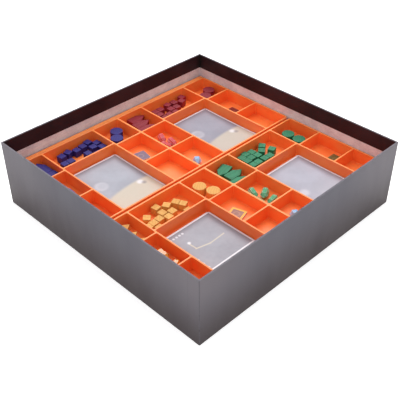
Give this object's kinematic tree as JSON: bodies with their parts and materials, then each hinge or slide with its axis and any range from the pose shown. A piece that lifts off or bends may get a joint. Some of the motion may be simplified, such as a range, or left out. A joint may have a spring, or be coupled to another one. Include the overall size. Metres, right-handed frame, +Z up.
{
  "type": "board game box",
  "caption": "Open square board game box with lift-out divided trays of wooden pieces, crystals and card decks over a lower tray of map tiles.",
  "frame": {"origin": "middle of the box's underside", "axes": "+Z up; +X along the long side of the trays, towards the red and green sections; +Y from the front tray to the back tray; the picture's camera looks from the corner at -X and -Y"},
  "size_m": [0.3, 0.3, 0.08],
  "materials": {
    "base_paper": "dark grey paper, satin",
    "greyboard": "grey-mauve board, matte",
    "stay_tape": "gummed kraft tape, matte",
    "wrap_paper": "printed paper, satin",
    "tray_plastic": "moulded orange plastic, satin",
    "map_tile_board": "printed board with pale cut edges, matte",
    "blue_wood": "dyed wood, matte",
    "blue_crystal": "see-through coloured plastic, glossy",
    "clear_gem": "see-through ice-blue plastic, glossy",
    "blue_token_board": "printed board, satin",
    "blue_card": "printed card, satin",
    "red_wood": "dyed wood, matte",
    "red_crystal": "see-through coloured plastic, glossy",
    "red_token_board": "printed board, satin",
    "red_card": "printed card, satin",
    "yellow_wood": "natural wood, matte",
    "yellow_crystal": "see-through coloured plastic, glossy",
    "yellow_token_board": "printed board, satin",
    "yellow_card": "printed card, satin",
    "green_wood": "dyed wood, matte",
    "green_crystal": "see-through coloured plastic, glossy",
    "green_token_board": "printed board, satin",
    "green_card": "printed card, satin"
  },
  "bodies": {
    "box": {"base_sheet": "base_paper", "board_shell": "greyboard", "corner_stays": "stay_tape", "printed_wrap": "wrap_paper"},
    "lower_tray": {"lower_tray": "tray_plastic"},
    "map_tiles": {"map_tiles_front_left": "map_tile_board", "map_tiles_front_right": "map_tile_board", "map_tiles_back_left": "map_tile_board", "map_tiles_back_right": "map_tile_board"},
    "upper_tray_back": {"upper_tray_back": "tray_plastic"},
    "upper_tray_front": {"upper_tray_front": "tray_plastic"},
    "blue_cubes": {"blue_cubes": "blue_wood"},
    "blue_houses": {"blue_houses": "blue_wood"},
    "blue_discs": {"blue_discs": "blue_wood"},
    "blue_crystals": {"blue_crystals": "blue_crystal", "blue_clear_gem": "clear_gem"},
    "blue_token": {"blue_token": "blue_token_board"},
    "blue_card_deck": {"blue_card_deck": "blue_card"},
    "red_cubes": {"red_cubes": "red_wood"},
    "red_houses": {"red_houses": "red_wood"},
    "red_discs": {"red_discs": "red_wood"},
    "red_crystals": {"red_crystals": "red_crystal", "red_clear_gem": "clear_gem"},
    "red_token": {"red_token": "red_token_board"},
    "red_card_deck": {"red_card_deck": "red_card"},
    "yellow_cubes": {"yellow_cubes": "yellow_wood"},
    "yellow_houses": {"yellow_houses": "yellow_wood"},
    "yellow_discs": {"yellow_discs": "yellow_wood"},
    "yellow_crystals": {"yellow_crystals": "yellow_crystal", "yellow_clear_gem": "clear_gem"},
    "yellow_token": {"yellow_token": "yellow_token_board"},
    "yellow_card_deck": {"yellow_card_deck": "yellow_card"},
    "green_cubes": {"green_cubes": "green_wood"},
    "green_houses": {"green_houses": "green_wood"},
    "green_discs": {"green_discs": "green_wood"},
    "green_crystals": {"green_crystals": "green_crystal", "green_clear_gem": "clear_gem"},
    "green_token": {"green_token": "green_token_board"},
    "green_card_deck": {"green_card_deck": "green_card"}
  },
  "joints": [
    {"name": "lower_tray_lift", "type": "slide", "parent": "box", "child": "lower_tray", "axis": [0, 0, 1], "range_m": [0, 0.09]},
    {"name": "map_tiles_lift", "type": "slide", "parent": "lower_tray", "child": "map_tiles", "axis": [0, 0, 1], "range_m": [0, 0.08]},
    {"name": "upper_tray_back_lift", "type": "slide", "parent": "map_tiles", "child": "upper_tray_back", "axis": [0, 0, 1], "range_m": [0, 0.055]},
    {"name": "upper_tray_front_lift", "type": "slide", "parent": "map_tiles", "child": "upper_tray_front", "axis": [0, 0, 1], "range_m": [0, 0.055]},
    {"name": "blue_cubes_lift", "type": "slide", "parent": "upper_tray_back", "child": "blue_cubes", "axis": [0, 0, 1], "range_m": [0, 0.05]},
    {"name": "blue_houses_lift", "type": "slide", "parent": "upper_tray_back", "child": "blue_houses", "axis": [0, 0, 1], "range_m": [0, 0.05]},
    {"name": "blue_discs_lift", "type": "slide", "parent": "upper_tray_back", "child": "blue_discs", "axis": [0, 0, 1], "range_m": [0, 0.05]},
    {"name": "blue_crystals_lift", "type": "slide", "parent": "upper_tray_back", "child": "blue_crystals", "axis": [0, 0, 1], "range_m": [0, 0.05]},
    {"name": "blue_token_lift", "type": "slide", "parent": "upper_tray_back", "child": "blue_token", "axis": [0, 0, 1], "range_m": [0, 0.05]},
    {"name": "blue_card_deck_lift", "type": "slide", "parent": "upper_tray_back", "child": "blue_card_deck", "axis": [0, 0, 1], "range_m": [0, 0.05]},
    {"name": "red_cubes_lift", "type": "slide", "parent": "upper_tray_back", "child": "red_cubes", "axis": [0, 0, 1], "range_m": [0, 0.05]},
    {"name": "red_houses_lift", "type": "slide", "parent": "upper_tray_back", "child": "red_houses", "axis": [0, 0, 1], "range_m": [0, 0.05]},
    {"name": "red_discs_lift", "type": "slide", "parent": "upper_tray_back", "child": "red_discs", "axis": [0, 0, 1], "range_m": [0, 0.05]},
    {"name": "red_crystals_lift", "type": "slide", "parent": "upper_tray_back", "child": "red_crystals", "axis": [0, 0, 1], "range_m": [0, 0.05]},
    {"name": "red_token_lift", "type": "slide", "parent": "upper_tray_back", "child": "red_token", "axis": [0, 0, 1], "range_m": [0, 0.05]},
    {"name": "red_card_deck_lift", "type": "slide", "parent": "upper_tray_back", "child": "red_card_deck", "axis": [0, 0, 1], "range_m": [0, 0.05]},
    {"name": "yellow_cubes_lift", "type": "slide", "parent": "upper_tray_front", "child": "yellow_cubes", "axis": [0, 0, 1], "range_m": [0, 0.05]},
    {"name": "yellow_houses_lift", "type": "slide", "parent": "upper_tray_front", "child": "yellow_houses", "axis": [0, 0, 1], "range_m": [0, 0.05]},
    {"name": "yellow_discs_lift", "type": "slide", "parent": "upper_tray_front", "child": "yellow_discs", "axis": [0, 0, 1], "range_m": [0, 0.05]},
    {"name": "yellow_crystals_lift", "type": "slide", "parent": "upper_tray_front", "child": "yellow_crystals", "axis": [0, 0, 1], "range_m": [0, 0.05]},
    {"name": "yellow_token_lift", "type": "slide", "parent": "upper_tray_front", "child": "yellow_token", "axis": [0, 0, 1], "range_m": [0, 0.05]},
    {"name": "yellow_card_deck_lift", "type": "slide", "parent": "upper_tray_front", "child": "yellow_card_deck", "axis": [0, 0, 1], "range_m": [0, 0.05]},
    {"name": "green_cubes_lift", "type": "slide", "parent": "upper_tray_front", "child": "green_cubes", "axis": [0, 0, 1], "range_m": [0, 0.05]},
    {"name": "green_houses_lift", "type": "slide", "parent": "upper_tray_front", "child": "green_houses", "axis": [0, 0, 1], "range_m": [0, 0.05]},
    {"name": "green_discs_lift", "type": "slide", "parent": "upper_tray_front", "child": "green_discs", "axis": [0, 0, 1], "range_m": [0, 0.05]},
    {"name": "green_crystals_lift", "type": "slide", "parent": "upper_tray_front", "child": "green_crystals", "axis": [0, 0, 1], "range_m": [0, 0.05]},
    {"name": "green_token_lift", "type": "slide", "parent": "upper_tray_front", "child": "green_token", "axis": [0, 0, 1], "range_m": [0, 0.05]},
    {"name": "green_card_deck_lift", "type": "slide", "parent": "upper_tray_front", "child": "green_card_deck", "axis": [0, 0, 1], "range_m": [0, 0.05]}
  ]
}
